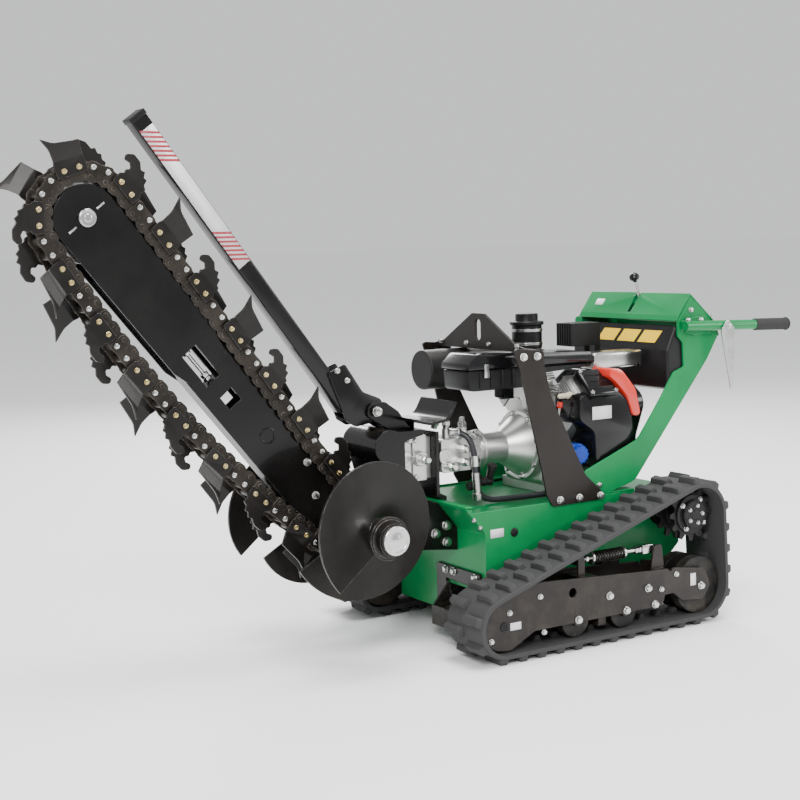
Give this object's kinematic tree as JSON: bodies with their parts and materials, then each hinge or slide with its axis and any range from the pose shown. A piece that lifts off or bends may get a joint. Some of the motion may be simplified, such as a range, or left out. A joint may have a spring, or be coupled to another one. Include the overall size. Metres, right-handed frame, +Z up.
{
  "type": "tracked walk-behind trencher",
  "caption": "Walk-behind trencher on rubber tracks, with a raised digging chain boom, two spoil augers, a safety bar, an engine on the deck and rear handles.",
  "frame": {"origin": "centre of the whole machine's footprint on the ground, between the boom's tip and the handle grips", "axes": "+X forward along the boom, +Y to the machine's left, +Z up"},
  "size_m": [2.5194, 0.86, 1.5629],
  "materials": {
    "green_paint": "gloss",
    "black_paint": "gloss",
    "black_steel": "satin",
    "chain_steel": "matt",
    "bare_steel": "satin",
    "cast_alloy": "matt",
    "motor_black": "satin",
    "black_plastic": "matt",
    "red_plastic": "gloss",
    "silencer_steel": "matt",
    "blue_can": "gloss",
    "track_rubber": "matt",
    "grip_rubber": "matt",
    "hose_rubber": "satin"
  },
  "bodies": {
    "root": {"chassis": "green_paint", "front_brackets": "black_paint", "boom_mount": "black_paint", "rolled_cover": "black_paint", "deflector_pan": "black_paint", "bar_bracket": "black_paint", "tie_down_ring": "green_paint", "upright_left": "green_paint", "upright_right": "green_paint", "console": "green_paint", "fuel_tank": "black_plastic", "handlebars": "green_paint", "grips": "grip_rubber", "bail_arms": "black_paint", "lifting_plate": "black_paint", "engine_block": "cast_alloy", "cylinder_heads": "cast_alloy", "blower_housing": "black_plastic", "starter_cover": "red_plastic", "air_cleaner": "black_plastic", "muffler": "silencer_steel", "oil_filter": "blue_can", "carburettor": "cast_alloy", "precleaner": "black_plastic", "oil_cooler": "cast_alloy", "bell_housing": "cast_alloy", "drive_pump": "cast_alloy", "pump_bracket": "black_paint", "hydraulic_pump": "cast_alloy", "pressure_hose": "hose_rubber", "tension_springs": "bare_steel", "drive_motors": "motor_black", "track_frame_left": "black_paint", "track_frame_right": "black_paint", "track_belt_left": "track_rubber", "track_belt_right": "track_rubber"},
    "boom": {"boom_inner": "black_paint", "boom_outer": "black_paint", "tension_bolt": "bare_steel", "digging_chain": "chain_steel", "cup_teeth": "black_steel", "claw_teeth": "black_steel"},
    "nose_wheel": {"nose_roller": "bare_steel"},
    "head": {"head_shaft": "bare_steel", "head_sprocket": "chain_steel", "auger_left": "black_steel", "auger_right": "black_steel"},
    "bar": {"safety_bar": "black_paint"},
    "lever": {"control_lever": "bare_steel"},
    "blade": {"release_lever": "bare_steel"},
    "drive_sprocket_left": {"drive_sprocket_left": "motor_black"},
    "front_idler_left": {"front_idler_left": "motor_black"},
    "rear_idler_left": {"rear_idler_left": "motor_black"},
    "track_roller_1_left": {"track_roller_1_left": "motor_black"},
    "track_roller_2_left": {"track_roller_2_left": "motor_black"},
    "drive_sprocket_right": {"drive_sprocket_right": "motor_black"},
    "front_idler_right": {"front_idler_right": "motor_black"},
    "rear_idler_right": {"rear_idler_right": "motor_black"},
    "track_roller_1_right": {"track_roller_1_right": "motor_black"},
    "track_roller_2_right": {"track_roller_2_right": "motor_black"}
  },
  "joints": [
    {"name": "boom_lift", "type": "hinge", "parent": "root", "child": "boom", "pos_m": [0.32088, 0, 0.386], "axis": [0, 1, 0], "range_deg": [0, 110]},
    {"name": "head_drive", "type": "hinge", "parent": "root", "child": "head", "pos_m": [0.32088, 0, 0.386], "axis": [0, 1, 0], "continuous": true},
    {"name": "nose_spin", "type": "hinge", "parent": "boom", "child": "nose_wheel", "pos_m": [1.0446, 0, 1.27972], "axis": [0, 1, 0], "continuous": true},
    {"name": "bar_lift", "type": "hinge", "parent": "root", "child": "bar", "pos_m": [0.19488, 0, 0.706], "axis": [0, 1, 0], "range_deg": [-35, 0]},
    {"name": "control_tilt", "type": "hinge", "parent": "root", "child": "lever", "pos_m": [-0.86112, 0, 0.985], "axis": [0, 1, 0], "range_deg": [-20, 20]},
    {"name": "blade_squeeze", "type": "hinge", "parent": "root", "child": "blade", "pos_m": [-0.97612, 0.283, 0.905], "axis": [0, 1, 0], "range_deg": [-18, 18], "stiffness_Nm_per_rad": 2},
    {"name": "sprocket_left", "type": "hinge", "parent": "root", "child": "drive_sprocket_left", "pos_m": [-0.73112, 0.3415, 0.34], "axis": [0, 1, 0], "continuous": true},
    {"name": "front_idler_spin_left", "type": "hinge", "parent": "root", "child": "front_idler_left", "pos_m": [0.00888, 0.3415, 0.107], "axis": [0, 1, 0], "continuous": true},
    {"name": "rear_idler_spin_left", "type": "hinge", "parent": "root", "child": "rear_idler_left", "pos_m": [-0.74112, 0.3415, 0.118], "axis": [0, 1, 0], "continuous": true},
    {"name": "roller_1_spin_left", "type": "hinge", "parent": "root", "child": "track_roller_1_left", "pos_m": [-0.25812, 0.3415, 0.081], "axis": [0, 1, 0], "continuous": true},
    {"name": "roller_2_spin_left", "type": "hinge", "parent": "root", "child": "track_roller_2_left", "pos_m": [-0.44112, 0.3415, 0.081], "axis": [0, 1, 0], "continuous": true},
    {"name": "sprocket_right", "type": "hinge", "parent": "root", "child": "drive_sprocket_right", "pos_m": [-0.73112, -0.3415, 0.34], "axis": [0, 1, 0], "continuous": true},
    {"name": "front_idler_spin_right", "type": "hinge", "parent": "root", "child": "front_idler_right", "pos_m": [0.00888, -0.3415, 0.107], "axis": [0, 1, 0], "continuous": true},
    {"name": "rear_idler_spin_right", "type": "hinge", "parent": "root", "child": "rear_idler_right", "pos_m": [-0.74112, -0.3415, 0.118], "axis": [0, 1, 0], "continuous": true},
    {"name": "roller_1_spin_right", "type": "hinge", "parent": "root", "child": "track_roller_1_right", "pos_m": [-0.25812, -0.3415, 0.081], "axis": [0, 1, 0], "continuous": true},
    {"name": "roller_2_spin_right", "type": "hinge", "parent": "root", "child": "track_roller_2_right", "pos_m": [-0.44112, -0.3415, 0.081], "axis": [0, 1, 0], "continuous": true}
  ],
  "couplings": [
    {"joint": "front_idler_spin_left", "follows": "sprocket_left", "ratio": 1.1429},
    {"joint": "rear_idler_spin_left", "follows": "sprocket_left", "ratio": 1},
    {"joint": "roller_1_spin_left", "follows": "sprocket_left", "ratio": 1.76},
    {"joint": "roller_2_spin_left", "follows": "sprocket_left", "ratio": 1.76},
    {"joint": "front_idler_spin_right", "follows": "sprocket_right", "ratio": 1.1429},
    {"joint": "rear_idler_spin_right", "follows": "sprocket_right", "ratio": 1},
    {"joint": "roller_1_spin_right", "follows": "sprocket_right", "ratio": 1.76},
    {"joint": "roller_2_spin_right", "follows": "sprocket_right", "ratio": 1.76},
    {"joint": "nose_spin", "follows": "head_drive", "ratio": 0.6591}
  ]
}
